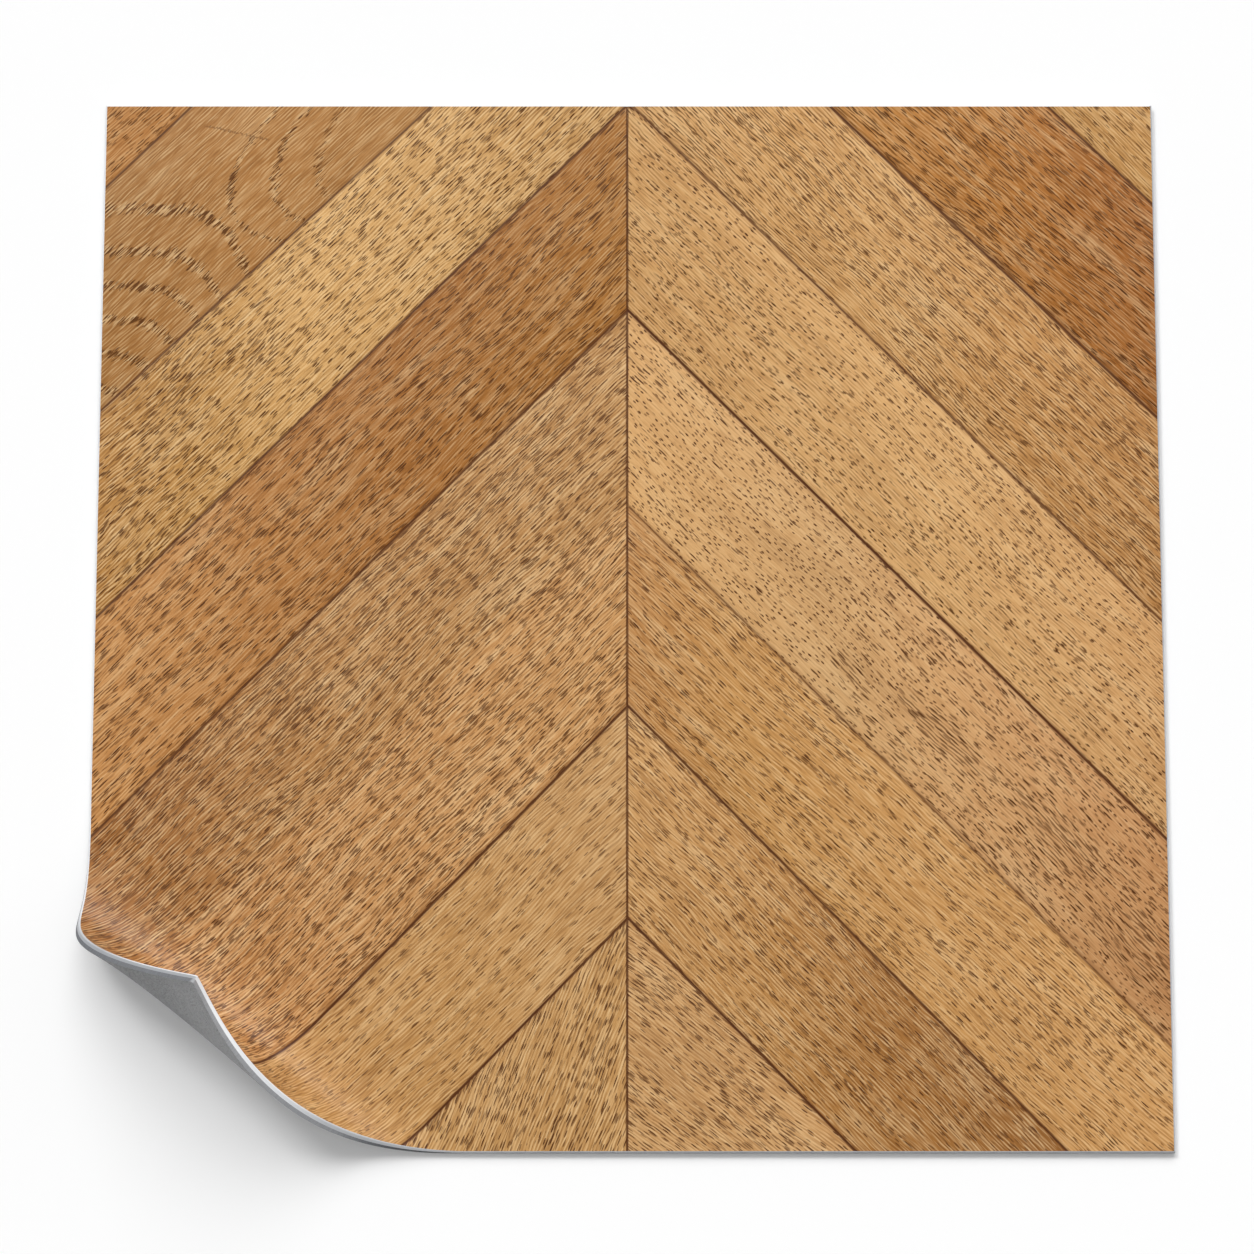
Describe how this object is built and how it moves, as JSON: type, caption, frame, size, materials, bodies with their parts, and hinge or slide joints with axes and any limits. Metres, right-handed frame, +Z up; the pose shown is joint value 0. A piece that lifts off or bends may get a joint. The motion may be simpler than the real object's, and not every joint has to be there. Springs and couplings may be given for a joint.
{
  "type": "peel and stick floor tile",
  "caption": "Square peel and stick floor tile: oak chevron printed vinyl on a grey adhesive backing, lying flat with one corner curled up and over.",
  "frame": {"origin": "centre of the tile's square underside, on the floor", "axes": "+Z up through the printed face; -Y towards the front edge, at the open end of the chevron; the curled corner is at -X, -Y"},
  "size_m": [0.3071, 0.305, 0.054],
  "materials": {
    "printed_vinyl": "satin oak chevron print on a white vinyl core",
    "adhesive_backing": "matt grey, finely pebbled"
  },
  "bodies": {
    "root": {"printed_vinyl": "printed_vinyl", "adhesive_backing": "adhesive_backing"}
  },
  "joints": []
}
